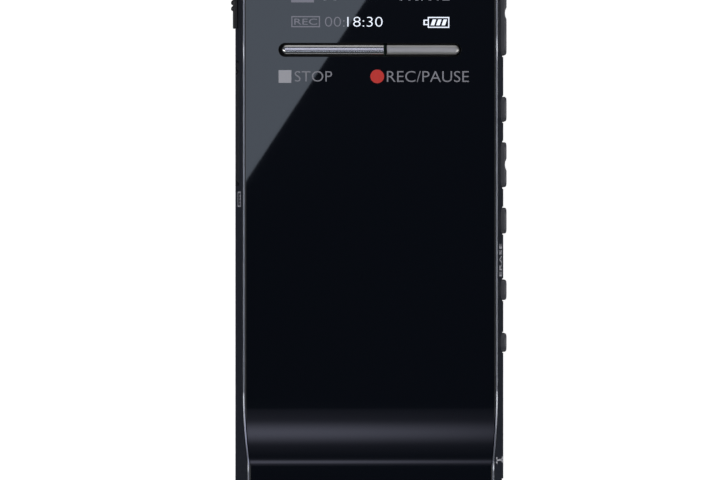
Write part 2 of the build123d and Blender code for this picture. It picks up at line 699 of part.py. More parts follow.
# ---- screws -----------------------------------------------------------------------------------------
def cross_recess(x, y, z, reach):
    """Two crossed slots for the driver."""
    thin = RECESS_SLOT / 2
    across = block(around(x, reach), around(y, thin), z)
    return across + block(around(x, thin), around(y, reach), z)


def case_screws():
    screws = []
    for x, y in CASE_SCREWS:
        screw = post(x, y, CASE_HEAD_Z, CASE_HEAD_R)
        screw += post(x, y, (CASE_HEAD_Z[1], CASE_SCREW_TIP_Z), CASE_SCREW_R)
        recess_z = (CASE_HEAD_Z[0], mid(CASE_HEAD_Z))
        screws.append(screw - cross_recess(x, y, recess_z, CASE_HEAD_R * RECESS_REACH))
    return Compound(screws)


def board_screws():
    screws = []
    for x, y in BOARD_SCREWS:
        head_z = (MAIN_Z[1], MAIN_Z[1] + BOARD_HEAD_T)
        screw = post(x, y, head_z, BOARD_HEAD_R)
        screw += post(x, y, (LUG_BOTTOM_Z, MAIN_Z[1]), BOARD_SCREW_R)
        recess_z = (mid(head_z), head_z[1])
        screws.append(screw - cross_recess(x, y, recess_z, BOARD_HEAD_R * RECESS_REACH))
    return Compound(screws)


# ---- every node -------------------------------------------------------------------------------------
NODES = {
    "rear_cover": rear_cover(),
    "side_frame": side_frame(),
    "front_panel": front_panel(),
    "bezel_trim": bezel_trim(),
    "top_cap": top_cap(),
    "mic_grille_left": mic_grille(-1),
    "mic_grille_right": mic_grille(1),
    "indicator_lens": indicator_lens(),
    "stop_button": bar_button(STOP_X, -1),
    "record_button": bar_button(RECORD_X, 1),
    "front_switches": front_switches(),
    "side_key_flex": block(KEY_FLEX_X, KEY_FLEX_Y, KEY_FLEX_Z),
    "side_key_domes": side_key_domes(),
    "power_hold_slider": power_hold_slider(),
    "slide_switch": slide_switch(),
    "slide_switch_lever": slide_switch_lever(),
    "card_door": card_door(),
    "card_door_pin": post(*DOOR_PIVOT, DOOR_PIN_Z, DOOR_PIN_R),
    "microsd_socket": microsd_socket(),
    "main_pcb": main_pcb(),
    "io_pcb": block(IO_X, IO_Y, IO_Z),
    "link_flex": link_flex(),
    "soc_shield": soc_shield(),
    "processor": processor(),
    "flash_memory": block(FLASH_X, FLASH_Y, (MAIN_Z[0] - FLASH_T, MAIN_Z[0])),
    "oled_display": block(DISPLAY_X, DISPLAY_Y, DISPLAY_Z),
    "display_holder": display_holder(),
    "display_flex": display_flex(),
    "battery": battery(),
    "battery_pad": battery_pad(),
    "battery_leads": battery_leads(),
    "battery_connector": block(CONNECTOR_X, CONNECTOR_Y, CONNECTOR_Z),
    "headphone_jack": headphone_jack(),
    "usb_socket": usb_socket(),
    "speaker": speaker(),
    "speaker_mesh": speaker_mesh(),
    "left_microphone": microphone(-1),
    "right_microphone": microphone(1),
    "left_mic_boot": mic_boot(-1),
    "right_mic_boot": mic_boot(1),
    "microphone_flex": microphone_flex(),
    "case_screws": case_screws(),
    "board_screws": board_screws(),
    "strap_pin": post(*STRAP_PIN_XY, STRAP_PIN_Z, STRAP_PIN_R),
}
NODES |= {name: press_key(*sizes) for name, sizes in PRESS_KEYS.items()}
NODES |= {name: rocker(*sizes) for name, sizes in ROCKERS.items()}

os.makedirs("parts", exist_ok=True)
for name, shape in NODES.items():
    export_step(shape, f"parts/{name}.step")
print(f"pad height {PAD_Z:.3f}")
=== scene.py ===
import json
import math

import bmesh
import bpy
from mathutils import Matrix, Vector

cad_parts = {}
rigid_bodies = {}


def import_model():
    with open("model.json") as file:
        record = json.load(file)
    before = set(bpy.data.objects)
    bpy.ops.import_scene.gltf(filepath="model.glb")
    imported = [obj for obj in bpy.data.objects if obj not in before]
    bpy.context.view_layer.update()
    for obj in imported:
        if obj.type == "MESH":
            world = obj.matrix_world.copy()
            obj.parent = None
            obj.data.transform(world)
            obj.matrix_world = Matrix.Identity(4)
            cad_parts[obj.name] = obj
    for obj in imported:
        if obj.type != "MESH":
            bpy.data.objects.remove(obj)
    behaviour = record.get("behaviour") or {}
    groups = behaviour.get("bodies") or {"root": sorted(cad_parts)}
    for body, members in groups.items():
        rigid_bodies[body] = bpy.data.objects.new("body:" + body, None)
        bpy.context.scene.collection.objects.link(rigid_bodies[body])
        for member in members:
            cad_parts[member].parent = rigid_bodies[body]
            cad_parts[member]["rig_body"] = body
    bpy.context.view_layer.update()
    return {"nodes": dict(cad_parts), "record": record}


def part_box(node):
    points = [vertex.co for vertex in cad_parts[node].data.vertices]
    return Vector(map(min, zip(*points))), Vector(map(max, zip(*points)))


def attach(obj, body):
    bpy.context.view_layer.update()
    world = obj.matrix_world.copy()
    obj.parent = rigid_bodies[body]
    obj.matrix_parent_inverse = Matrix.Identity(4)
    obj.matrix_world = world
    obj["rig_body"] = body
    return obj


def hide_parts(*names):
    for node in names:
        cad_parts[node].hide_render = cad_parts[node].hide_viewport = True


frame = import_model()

MM = 0.001
nodes = frame["nodes"]

# ---- shape of the case, as in the CAD model, in metres ----------------------------------------------
HALF_WIDTH = 12.35 * MM
HALF_LENGTH = 51.0 * MM
CORNER_R = 2.0 * MM
CORNER_X = HALF_WIDTH - CORNER_R
CORNER_Y = CORNER_R - HALF_LENGTH
FACET_Z = 4.33 * MM
LEAN_DEG = 16.86
LEAN = math.tan(math.radians(LEAN_DEG))
FLAT_Z = 6.4 * MM
SWOOP_Y = -32.79 * MM
SWOOP_R = 15.4 * MM
CREST_R = 3.0 * MM
SWOOP_TURN = math.radians(22.0)
SWOOP_RUN = SWOOP_R * math.sin(SWOOP_TURN)
CREST_RUN = CREST_R * math.sin(SWOOP_TURN)
PAD_Z = FLAT_Z + (SWOOP_R + CREST_R) * (1 - math.cos(SWOOP_TURN))
PANEL_INSET = 0.24 * MM
PANEL_T = 0.9 * MM
PANEL_END_Y = 45.15 * MM
TRIM_WIDTH = 0.18 * MM
TRIM_DEPTH = 0.4 * MM
TRIM_LIP = 0.03 * MM
TRIM_END_Y = 45.2 * MM
SLOT_X = (-8.44 * MM, 8.34 * MM)
SLOT_R = 0.615 * MM
BAR_Y = -1.19 * MM
BAR_R = 0.435 * MM
BAR_TOP = 6.9 * MM
BAR_FLANGE_Z = (5.12 * MM, 5.45 * MM)
BAR_FLANGE_HALF = 0.75 * MM
BAR_FLANGE_OVERHANG = 0.5 * MM
STOP_X = (-8.15 * MM, 1.19 * MM)
RECORD_X = (1.51 * MM, 8.16 * MM)


def front_z(y):
    """Height of the front surface at this place along the recorder."""
    along = SWOOP_Y - y
    if along <= 0:
        return FLAT_Z
    if along <= SWOOP_RUN:
        return FLAT_Z + SWOOP_R - math.sqrt(SWOOP_R**2 - along**2)
    left = SWOOP_RUN + CREST_RUN - along
    if left <= 0:
        return PAD_Z
    return PAD_Z - CREST_R + math.sqrt(CREST_R**2 - left**2)


# ---- materials --------------------------------------------------------------------------------------
def new_material(name):
    material = bpy.data.materials.new(name)
    material.use_nodes = True
    tree = material.node_tree
    return material, tree, tree.nodes["Principled BSDF"]


def finish_material(
    name, dark, light, rough=(0.3, 0.4), grain=400.0, stretch=(1, 1, 1), bump=0.0, bump_mm=0.01, edge_mm=0.0, **fixed
):
    """A surface whose colour and roughness vary with a fine grain, which may be stretched into brushing. Light
    breaks softly over its edges where edge_mm is given."""
    material, tree, shader = new_material(name)
    nodes_, links = tree.nodes, tree.links
    place = nodes_.new("ShaderNodeTexCoord")
    mapping = nodes_.new("ShaderNodeMapping")
    mapping.inputs["Scale"].default_value = stretch
    noise = nodes_.new("ShaderNodeTexNoise")
    noise.inputs["Scale"].default_value = grain
    noise.inputs["Detail"].default_value = 5.0
    ramp = nodes_.new("ShaderNodeMix")
    ramp.data_type = "RGBA"
    ramp.inputs["A"].default_value = (*dark, 1)
    ramp.inputs["B"].default_value = (*light, 1)
    spread = nodes_.new("ShaderNodeMapRange")
    spread.inputs["From Min"].default_value = 0.3
    spread.inputs["From Max"].default_value = 0.7
    spread.inputs["To Min"].default_value = rough[0]
    spread.inputs["To Max"].default_value = rough[1]
    links.new(place.outputs["Object"], mapping.inputs["Vector"])
    links.new(mapping.outputs["Vector"], noise.inputs["Vector"])
    links.new(noise.outputs["Fac"], ramp.inputs["Factor"])
    links.new(noise.outputs["Fac"], spread.inputs["Value"])
    links.new(ramp.outputs["Result"], shader.inputs["Base Color"])
    links.new(spread.outputs["Result"], shader.inputs["Roughness"])
    soft_edge = None
    if edge_mm:
        soft_edge = nodes_.new("ShaderNodeBevel")
        soft_edge.samples = 4
        soft_edge.inputs["Radius"].default_value = edge_mm * MM
        links.new(soft_edge.outputs["Normal"], shader.inputs["Normal"])
    if bump:
        relief = nodes_.new("ShaderNodeBump")
        relief.inputs["Strength"].default_value = bump
        relief.inputs["Distance"].default_value = bump_mm * MM
        links.new(noise.outputs["Fac"], relief.inputs["Height"])
        if soft_edge:
            links.new(soft_edge.outputs["Normal"], relief.inputs["Normal"])
        links.new(relief.outputs["Normal"], shader.inputs["Normal"])
    for socket, value in fixed.items():
        shader.inputs[socket.replace("_", " ")].default_value = value
    return material


def pair(colour, spread=0.1):
    """A darker and a lighter version of a colour."""
    return tuple(c * (1 - spread) for c in colour), tuple(c * (1 + spread) for c in colour)


FINISHES = {
    "panel_black": dict(colour=(0.0008, 0.0018, 0.0050), rough=(0.008, 0.016), grain=60),
    "trim_metal": dict(colour=(0.54, 0.56, 0.61), rough=(0.3, 0.36), grain=900, bump=0.1, Metallic=1.0),
    "frame_black": dict(colour=(0.0070, 0.0084, 0.0160), edge_mm=0.08, rough=(0.34, 0.42), grain=2600, bump=0.35),
    "cover_black": dict(colour=(0.010, 0.0105, 0.013), edge_mm=0.08, rough=(0.4, 0.5), grain=2600, bump=0.4),
    "cap_black": dict(colour=(0.004, 0.0045, 0.007), edge_mm=0.08, rough=(0.05, 0.09), grain=300, bump=0.02),
    "grille_metal": dict(colour=(0.06, 0.06, 0.066), edge_mm=0.04, rough=(0.35, 0.45), grain=1500, Metallic=1.0),
    "bar_metal": dict(
        colour=(0.70, 0.69, 0.68), rough=(0.17, 0.23), grain=700, stretch=(0.06, 1, 1), bump=0.1, Metallic=1.0
    ),
    "key_plastic": dict(colour=(0.090, 0.091, 0.102), rough=(0.28, 0.36), grain=1800, bump=0.15),
    "slider_plastic": dict(colour=(0.016, 0.016, 0.019), edge_mm=0.05, rough=(0.4, 0.5), grain=1800, bump=0.25),
    "door_plastic": dict(colour=(0.012, 0.0125, 0.017), edge_mm=0.05, rough=(0.36, 0.44), grain=2200, bump=0.3),
    "lens_red": dict(colour=(0.30, 0.012, 0.010), rough=(0.05, 0.1), grain=600, bump=0.02),
    "board_green": dict(colour=(0.010, 0.075, 0.030), rough=(0.25, 0.4), grain=900, bump=0.2),
    "flex_amber": dict(colour=(0.42, 0.17, 0.025), rough=(0.2, 0.3), grain=700, bump=0.1),
    "chip_black": dict(colour=(0.018, 0.018, 0.019), rough=(0.5, 0.6), grain=2500, bump=0.3),
    "shield_tin": dict(colour=(0.60, 0.60, 0.57), rough=(0.25, 0.4), grain=500, bump=0.1, Metallic=1.0),
    "cell_wrap": dict(colour=(0.50, 0.51, 0.53), rough=(0.25, 0.42), grain=120, bump=0.3, Metallic=1.0),
    "pad_foam": dict(colour=(0.05, 0.05, 0.05), rough=(0.85, 0.95), grain=3000, bump=0.6),
    "display_glass": dict(colour=(0.004, 0.005, 0.006), rough=(0.03, 0.06), grain=200),
    "holder_plastic": dict(colour=(0.04, 0.04, 0.042), rough=(0.45, 0.55), grain=1500, bump=0.2),
    "socket_steel": dict(
        colour=(0.52, 0.52, 0.53), edge_mm=0.04, rough=(0.22, 0.32), grain=800, bump=0.08, Metallic=1.0
    ),
    "socket_plastic": dict(colour=(0.02, 0.02, 0.021), rough=(0.4, 0.5), grain=1600, bump=0.2),
    "screw_steel": dict(
        colour=(0.14, 0.14, 0.15), edge_mm=0.04, rough=(0.28, 0.4), grain=1600, bump=0.1, Metallic=1.0
    ),
    "pin_steel": dict(
        colour=(0.60, 0.60, 0.61), edge_mm=0.05, rough=(0.18, 0.26), grain=900, stretch=(1, 1, 0.1), Metallic=1.0
    ),
    "mesh_fabric": dict(colour=(0.016, 0.016, 0.016), rough=(0.8, 0.9), grain=5000, bump=0.8),
    "boot_rubber": dict(colour=(0.02, 0.02, 0.02), rough=(0.6, 0.75), grain=1200, bump=0.3),
    "capsule_metal": dict(colour=(0.58, 0.55, 0.46), rough=(0.25, 0.35), grain=900, Metallic=1.0),
    "wire_red": dict(colour=(0.35, 0.02, 0.02), rough=(0.35, 0.45), grain=700),
}


def make_finish(slot, colour, **rest):
    return finish_material(slot, *pair(colour), **rest)


def soften_gloss(material, from_y, to_y, rough):
    """Makes the polish of a material softer towards the thick end."""
    tree = material.node_tree
    shader = tree.nodes["Principled BSDF"]
    polished = shader.inputs["Roughness"].links[0].from_socket
    place = tree.nodes.new("ShaderNodeTexCoord")
    split = tree.nodes.new("ShaderNodeSeparateXYZ")
    ramp = tree.nodes.new("ShaderNodeMapRange")
    ramp.inputs["From Min"].default_value = from_y
    ramp.inputs["From Max"].default_value = to_y
    ramp.inputs["To Min"].default_value = 0.0
    ramp.inputs["To Max"].default_value = rough
    larger = tree.nodes.new("ShaderNodeMath")
    larger.operation = "MAXIMUM"
    tree.links.new(place.outputs["Object"], split.inputs["Vector"])
    tree.links.new(split.outputs["Y"], ramp.inputs["Value"])
    tree.links.new(ramp.outputs["Result"], larger.inputs[0])
    tree.links.new(polished, larger.inputs[1])
    tree.links.new(larger.outputs["Value"], shader.inputs["Roughness"])


materials = {slot: make_finish(slot, **spec) for slot, spec in FINISHES.items()}
soften_gloss(materials["panel_black"], SWOOP_Y, SWOOP_Y - 2.0 * MM, 0.1)
carrier_black = make_finish("carrier_black", (0.003, 0.003, 0.0035), rough=(0.5, 0.6), grain=1500, bump=0.2)
bar_satin = make_finish(
    "bar_satin", (0.66, 0.65, 0.63), rough=(0.36, 0.46), grain=700, stretch=(0.06, 1, 1), bump=0.15, Metallic=1.0
)
slot_of = {part["node"]: part["material_slot"] for part in frame["record"]["subparts"]}
for name, node in nodes.items():
    node.data.materials.clear()
    node.data.materials.append(materials[slot_of[name]])


def glow_material(name, colour, strength, rough):
    """Printed or lit marks: a base colour with a faint mottle, and some light of their own if lit."""
    material, tree, shader = new_material(name)
    noise = tree.nodes.new("ShaderNodeTexNoise")
    noise.inputs["Scale"].default_value = 3000.0
    mix = tree.nodes.new("ShaderNodeMix")
    mix.data_type = "RGBA"
    low, high = pair(colour, 0.06)
    mix.inputs["A"].default_value = (*low, 1)
    mix.inputs["B"].default_value = (*high, 1)
    tree.links.new(noise.outputs["Fac"], mix.inputs["Factor"])
    tree.links.new(mix.outputs["Result"], shader.inputs["Base Color"])
    shader.inputs["Roughness"].default_value = rough
    if strength:
        shader.inputs["Emission Color"].default_value = (*colour, 1)
        shader.inputs["Emission Strength"].default_value = strength
    return material


# ---- camera -----------------------------------------------------------------------------------------
CAMERA_AIM = Vector((-0.9625 * MM, -18.65 * MM, FLAT_Z))
CAMERA_DISTANCE = 0.5
CAMERA_ASIDE = -18.0 * MM
FIELD_WIDTH = 66.1 * MM
SENSOR = 36.0

camera_data = bpy.data.cameras.new("camera")
camera_data.sensor_width = SENSOR
camera_data.lens = SENSOR * CAMERA_DISTANCE / FIELD_WIDTH
camera_data.clip_start = 0.01
camera_data.clip_end = 20.0
camera = bpy.data.objects.new("camera", camera_data)
camera.location = CAMERA_AIM + Vector((CAMERA_ASIDE, 0, CAMERA_DISTANCE))
camera.rotation_euler = (0, math.atan2(CAMERA_ASIDE, CAMERA_DISTANCE), 0)
bpy.context.scene.collection.objects.link(camera)
bpy.context.scene.camera = camera


# ---- floor and light --------------------------------------------------------------------------------
WHITE = (1.0, 1.0, 1.0)
FLOOR_PALE = (0.8, 0.8, 0.8)
FLOOR_ROUGH = 0.9
FLOOR_GLOW = 0.8
# The floor is off centre, so that the line between its two triangles doesn't run under the recorder.
FLOOR_X = (-3.0, 4.0)
FLOOR_Y = (-4.0, 3.0)
FLOOR_Z = -0.02 * MM


def mesh_object(name, verts, faces, material):
    mesh = bpy.data.meshes.new(name)
    mesh.from_pydata([tuple(v) for v in verts], [], faces)
    mesh.update()
    mesh.materials.append(material)
    obj = bpy.data.objects.new(name, mesh)
    bpy.context.scene.collection.objects.link(obj)
    return obj


def floor_material():
    """Pale from above, clear from below, so that the back of the recorder can be looked at."""
    material, tree, shader = new_material("pale_floor")
    out = tree.nodes["Material Output"]
    side = tree.nodes.new("ShaderNodeNewGeometry")
    clear = tree.nodes.new("ShaderNodeBsdfTransparent")
    mix = tree.nodes.new("ShaderNodeMixShader")
    tree.links.new(side.outputs["Backfacing"], mix.inputs["Fac"])
    tree.links.new(shader.outputs["BSDF"], mix.inputs[1])
    tree.links.new(clear.outputs["BSDF"], mix.inputs[2])
    tree.links.new(mix.outputs["Shader"], out.inputs["Surface"])
    shader.inputs["Base Color"].default_value = (*FLOOR_PALE, 1)
    shader.inputs["Roughness"].default_value = FLOOR_ROUGH
    shader.inputs["Emission Color"].default_value = (*WHITE, 1)
    shader.inputs["Emission Strength"].default_value = FLOOR_GLOW
    return material


floor_corners = [(FLOOR_X[i], FLOOR_Y[j], FLOOR_Z) for i, j in ((0, 0), (1, 0), (1, 1), (0, 1))]
floor = mesh_object("floor", floor_corners, [(0, 1, 2, 3)], floor_material())
floor.visible_glossy = False
floor.visible_shadow = False

DIM_COLOUR = (0.78, 0.87, 1.0)
DIM_STRENGTH = 0.07
BACKDROP_STRENGTH = 1.1


def make_world():
    """White behind the object for the camera, and a dim blue room for everything else."""
    world = bpy.data.worlds.new("studio")
    bpy.context.scene.world = world
    world.use_nodes = True
    tree = world.node_tree
    tree.nodes.clear()
    out = tree.nodes.new("ShaderNodeOutputWorld")
    dim = tree.nodes.new("ShaderNodeBackground")
    dim.inputs["Color"].default_value = (*DIM_COLOUR, 1)
    dim.inputs["Strength"].default_value = DIM_STRENGTH
    white = tree.nodes.new("ShaderNodeBackground")
    white.inputs["Color"].default_value = (*WHITE, 1)
    white.inputs["Strength"].default_value = BACKDROP_STRENGTH
    path = tree.nodes.new("ShaderNodeLightPath")
    choose = tree.nodes.new("ShaderNodeMixShader")
    tree.links.new(path.outputs["Is Camera Ray"], choose.inputs["Fac"])
    tree.links.new(dim.outputs["Background"], choose.inputs[1])
    tree.links.new(white.outputs["Background"], choose.inputs[2])
    tree.links.new(choose.outputs["Shader"], out.inputs["Surface"])


make_world()


def bare_glow(name, colour, radiance):
    """A material with nothing in it but light, not yet linked to its output."""
    material = bpy.data.materials.new(name)
    material.use_nodes = True
    tree = material.node_tree
    tree.nodes.clear()
    out = tree.nodes.new("ShaderNodeOutputMaterial")
    glow = tree.nodes.new("ShaderNodeEmission")
    glow.inputs["Color"].default_value = (*colour, 1)
    glow.inputs["Strength"].default_value = radiance
    return material, tree, glow.outputs["Emission"], out.inputs["Surface"]


def plain_glow(name, colour, radiance):
    """Even light."""
    material, tree, light, surface = bare_glow(name, colour, radiance)
    tree.links.new(light, surface)
    return material


def fading_glow(name, colour, radiance, fades):
    """Light that fades to clear. A fade is an axis, whether it counts on both sides of the middle, and the places
    where the light is gone and where it is full."""
    material, tree, light, surface = bare_glow(name, colour, radiance)
    clear = tree.nodes.new("ShaderNodeBsdfTransparent")
    mix = tree.nodes.new("ShaderNodeMixShader")
    place = tree.nodes.new("ShaderNodeTexCoord")
    split = tree.nodes.new("ShaderNodeSeparateXYZ")
    tree.links.new(place.outputs["Object"], split.inputs["Vector"])
    product = None
    for axis, both_sides, gone, full in fades:
        position = split.outputs[axis]
        if both_sides:
            away = tree.nodes.new("ShaderNodeMath")
            away.operation = "ABSOLUTE"
            tree.links.new(position, away.inputs[0])
            position = away.outputs["Value"]
        edge = tree.nodes.new("ShaderNodeMapRange")
        edge.interpolation_type = "SMOOTHSTEP"
        edge.inputs["From Min"].default_value = gone
        edge.inputs["From Max"].default_value = full
        tree.links.new(position, edge.inputs["Value"])
        if product is None:
            product = edge.outputs["Result"]
        else:
            times = tree.nodes.new("ShaderNodeMath")
            times.operation = "MULTIPLY"
            tree.links.new(product, times.inputs[0])
            tree.links.new(edge.outputs["Result"], times.inputs[1])
            product = times.outputs["Value"]
    tree.links.new(product, mix.inputs["Fac"])
    tree.links.new(clear.outputs["BSDF"], mix.inputs[1])
    tree.links.new(light, mix.inputs[2])
    tree.links.new(mix.outputs["Shader"], surface)
    return material


def soft_card(name, centre, aim, size, colour, radiance, fade):
    """A glowing card that faces aim. It fades to clear towards its edges, over fade of each half side."""
    half_x, half_y = size[0] / 2, size[1] / 2
    fades = (("X", True, half_x, half_x * (1 - fade[0])), ("Y", True, half_y, half_y * (1 - fade[1])))
    material = fading_glow(name, colour, radiance, fades)
    corners = [(-half_x, -half_y, 0), (half_x, -half_y, 0), (half_x, half_y, 0), (-half_x, half_y, 0)]
    card = mesh_object(name, corners, [(0, 1, 2, 3)], material)
    facing = (Vector(centre) - Vector(aim)).to_track_quat("Z", "Y")
    card.matrix_world = Matrix.Translation(centre) @ facing.to_matrix().to_4x4()
    card.visible_camera = False
    return card


def polar(tilt_deg, towards_deg, distance):
    """A place at a tilt from straight up, towards a compass angle counted from +X to +Y."""
    tilt, towards = math.radians(tilt_deg), math.radians(towards_deg)
    flat = math.sin(tilt)
    return Vector((flat * math.cos(towards), flat * math.sin(towards), math.cos(tilt))) * distance


# Each card: its place, its aim, its size, its colour, its radiance and how much of it fades.
ORIGIN = (0, 0, 0)
soft_card("left_softbox", polar(44, 180, 1.2), ORIGIN, (0.36, 1.2), WHITE, 3.0, (0.3, 0.3))
soft_card("right_softbox", polar(44, 0, 1.2), ORIGIN, (0.36, 1.2), WHITE, 3.2, (0.3, 0.3))
soft_card("far_softbox", polar(68, 90, 1.2), ORIGIN, (1.4, 0.8), WHITE, 0.68, (0.4, 0.4))
soft_card("near_softbox", polar(72, -90, 1.2), ORIGIN, (1.4, 0.5), WHITE, 0.5, (0.4, 0.5))
under = soft_card("under_softbox", (0.2, 0.3, -1.3), ORIGIN, (1.2, 1.2), WHITE, 3.0, (0.4, 0.4))
under.visible_glossy = False

# The curved part of the panel mirrors these two.
SWOOP_MIDDLE = Vector((0, -36.2 * MM, FLAT_Z))
TOP_SHIFT = Vector((-0.18, 0, 0))
TOP_PLACE = SWOOP_MIDDLE + polar(24.5, 90, 1.2) + TOP_SHIFT
TOP_AIM = SWOOP_MIDDLE + TOP_SHIFT
TOP_COLOUR = (0.75, 0.77, 1.0)
soft_card("top_softbox", TOP_PLACE, TOP_AIM, (0.62, 0.38), TOP_COLOUR, 2.1, (0.36, 1.0))
HAZE_PLACE = SWOOP_MIDDLE + polar(22.5, 90, 1.24) + TOP_SHIFT
soft_card("top_haze", HAZE_PLACE, TOP_AIM, (0.8, 1.0), TOP_COLOUR, 0.45, (0.6, 1.0))
fill = soft_card("overhead_fill", polar(8, 200, 1.3), ORIGIN, (1.2, 1.2), WHITE, 1.15, (0.3, 0.3))
fill.visible_glossy = False

# Two places on the panel that the straight edge of the glare runs through, as the camera sees it.
GLARE_EDGE_TOP = Vector((-0.48 * MM, 3.35 * MM, 0))
GLARE_EDGE_FOOT = Vector((-11.38 * MM, -13.15 * MM, 0))
GLARE_HEIGHT = CAMERA_DISTANCE + FLAT_Z
GLARE_TOP_MARGIN = 1 * MM
GLARE_SIDE_MARGIN = 4 * MM
GLARE_TOP_FADE = 4 * MM
GLARE_SIDE_FADE = 30 * MM
GLARE_COLOUR = (0.72, 0.83, 1.0)
GLARE_RADIANCE = 2.3
FLAG_X = (-40 * MM, 40 * MM)
FLAG_Y = (-37 * MM, -19.5 * MM)
FLAG_Z = FLAT_Z + 0.1


def only_mirrored(card):
    """The card shows in glossy surfaces and nowhere else."""
    card.visible_camera = False
    card.visible_diffuse = False
    card.visible_shadow = False


def glare_card():
    """A small card beside the camera. The flat part of the panel mirrors its straight edge. It fades out past what
    the camera sees of it."""
    edge_from = 2 * GLARE_EDGE_TOP - camera.location
    edge_to = 2 * GLARE_EDGE_FOOT - camera.location
    slope = (edge_to.x - edge_from.x) / (edge_to.y - edge_from.y)
    top_y, left_x = edge_from.y + GLARE_TOP_MARGIN, edge_to.x - GLARE_SIDE_MARGIN
    far_y, far_x = top_y + GLARE_TOP_FADE, left_x - GLARE_SIDE_FADE
    corner = (edge_from.x + slope * (far_y - edge_from.y), far_y)
    foot = (left_x, edge_from.y + (left_x - edge_from.x) / slope)
    fades = (("X", False, far_x, left_x), ("Y", False, far_y, top_y))
    material = fading_glow("glare_card", GLARE_COLOUR, GLARE_RADIANCE, fades)
    flat = [foot, corner, (far_x, far_y), (far_x, foot[1])]
    card = mesh_object("glare_card", [(x, y, GLARE_HEIGHT) for x, y in flat], [(0, 1, 2, 3)], material)
    only_mirrored(card)


def flag_card():
    """A dim card that keeps the glare card out of the curved part of the panel."""
    corners = [(FLAG_X[i], FLAG_Y[j], FLAG_Z) for i, j in ((0, 0), (1, 0), (1, 1), (0, 1))]
    material = plain_glow("flag", DIM_COLOUR, DIM_STRENGTH)
    only_mirrored(mesh_object("flag_card", corners, [(0, 1, 2, 3)], material))


glare_card()
flag_card()

bpy.context.scene.view_settings.view_transform = "Standard"
bpy.context.scene.view_settings.look = "None"


# ---- mesh helpers -----------------------------------------------------------------------------------
SHARP_TURN = math.radians(28.0)
SEAM_TURN = math.radians(50.0)


def finish_piece(name, form, material, body, replaces=(), seam=None):
    """Makes a piece of a bmesh, shades it smooth between its sharp edges, and puts it on its body. With seam,
    a test of two neighbouring faces, the shading breaks there and is exact elsewhere."""
    bmesh.ops.recalc_face_normals(form, faces=form.faces)
    for face in form.faces:
        face.smooth = True
    for edge in form.edges:
        meets = edge.link_faces
        if len(meets) == 2:
            edge.smooth = edge.calc_face_angle(0.0) < SEAM_TURN and not (seam and seam(*meets))
    mesh = bpy.data.meshes.new(name)
    form.to_mesh(mesh)
    form.free()
    mesh.materials.append(material)
    piece = bpy.data.objects.new(name, mesh)
    bpy.context.scene.collection.objects.link(piece)
    if not seam:
        even = piece.modifiers.new("even_shading", "WEIGHTED_NORMAL")
        even.keep_sharp = True
    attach(piece, body)
    if replaces:
        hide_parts(*replaces)


def round_edges(form, width, segments=2):
    """Rounds the sharp edges of a form."""
    sharp = [
        edge
        for edge in form.edges
        if len(edge.link_faces) == 2 and edge.calc_face_angle(0.0) > SHARP_TURN
    ]
    bmesh.ops.bevel(
        form,
        geom=sharp,
        offset=width,
        offset_type="OFFSET",
        segments=segments,
        profile=0.5,
        affect="EDGES",
        clamp_overlap=False,
    )


def loft(form, rings):
    """Skins a closed form through rings of equally many points, with a flat face over each end."""
    made = [[form.verts.new(point) for point in ring] for ring in rings]
    for ring, following in zip(made, made[1:]):
        count = len(ring)
        for k in range(count):
            after = (k + 1) % count
            form.faces.new((ring[k], ring[after], following[after], following[k]))
    form.faces.new(made[0])
    form.faces.new(made[-1])


def body_name(node):
    return nodes[node]["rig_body"]


PANEL_EDGE = 0.03 * MM
TRIM_EDGE = 0.01 * MM
CARRIER_EDGE = 0.08 * MM
KEY_EDGE = 0.03 * MM
MERGE = 0.0005 * MM
COPLANAR = math.radians(1.0)


def softened(node, width):
    """Stands for a CAD node: the same shape, with its flat faces made whole and its edges rounded a little."""
    form = bmesh.new()
    form.from_mesh(nodes[node].data)
    for layer in list(form.loops.layers.float_vector):
        form.loops.layers.float_vector.remove(layer)
    bmesh.ops.remove_doubles(form, verts=form.verts, dist=MERGE)
    bmesh.ops.dissolve_limit(form, angle_limit=COPLANAR, verts=form.verts, edges=form.edges)
    round_edges(form, width)
    surface = materials[slot_of[node]]
    finish_piece(node + "_shell", form, surface, body_name(node), (node,))


# ---- front panel and its bright rim -----------------------------------------------------------------
SWOOP_STEPS = 36
CREST_STEPS = 10
CORNER_STEPS = 10
SLOT_BAND = 1.5 * MM
SKIN_SLOPE = 0.9
SKIN_AREA = 1.0 * MM * MM
SKIN_REACH = 10.0 * MM
CURVE_EDGE = 0.3 * MM


def side_places(end_y):
    """Places along a long side, from its top end to the corner, close together where the front curves."""
    places = [end_y, BAR_Y + SLOT_BAND, BAR_Y, BAR_Y - SLOT_BAND, SWOOP_Y + CURVE_EDGE]
    places += [SWOOP_Y - SWOOP_R * math.sin(SWOOP_TURN * k / SWOOP_STEPS) for k in range(SWOOP_STEPS + 1)]
    crest_end = SWOOP_Y - SWOOP_RUN - CREST_RUN
    for k in range(CREST_STEPS - 1, -1, -1):
        places.append(crest_end + CREST_R * math.sin(SWOOP_TURN * k / CREST_STEPS))
    return places + [crest_end - CURVE_EDGE]


def rim_route(end_y):
    """Down the left side, round the bottom end and up the right side. Each entry is a point of the line that
    the corners turn about, and the direction outwards."""
    left = [(-CORNER_X, y, -1.0, 0.0) for y in side_places(end_y)]
    for k in range(CORNER_STEPS + 1):
        turn = math.pi + math.pi / 2 * k / CORNER_STEPS
        left.append((-CORNER_X, CORNER_Y, math.cos(turn), math.sin(turn)))
    return left + [(-x, y, -out_x, out_y) for x, y, out_x, out_y in reversed(left)]


def rim_point(place, inset, drop):
    """A point of the leaning side at that place, moved in by inset, drop under the front surface."""
    x, y, out_x, out_y = place
    z = front_z(y) - drop
    reach = CORNER_R - inset - (z - FACET_Z) * LEAN
    return Vector((x + out_x * reach, y + out_y * reach, z))


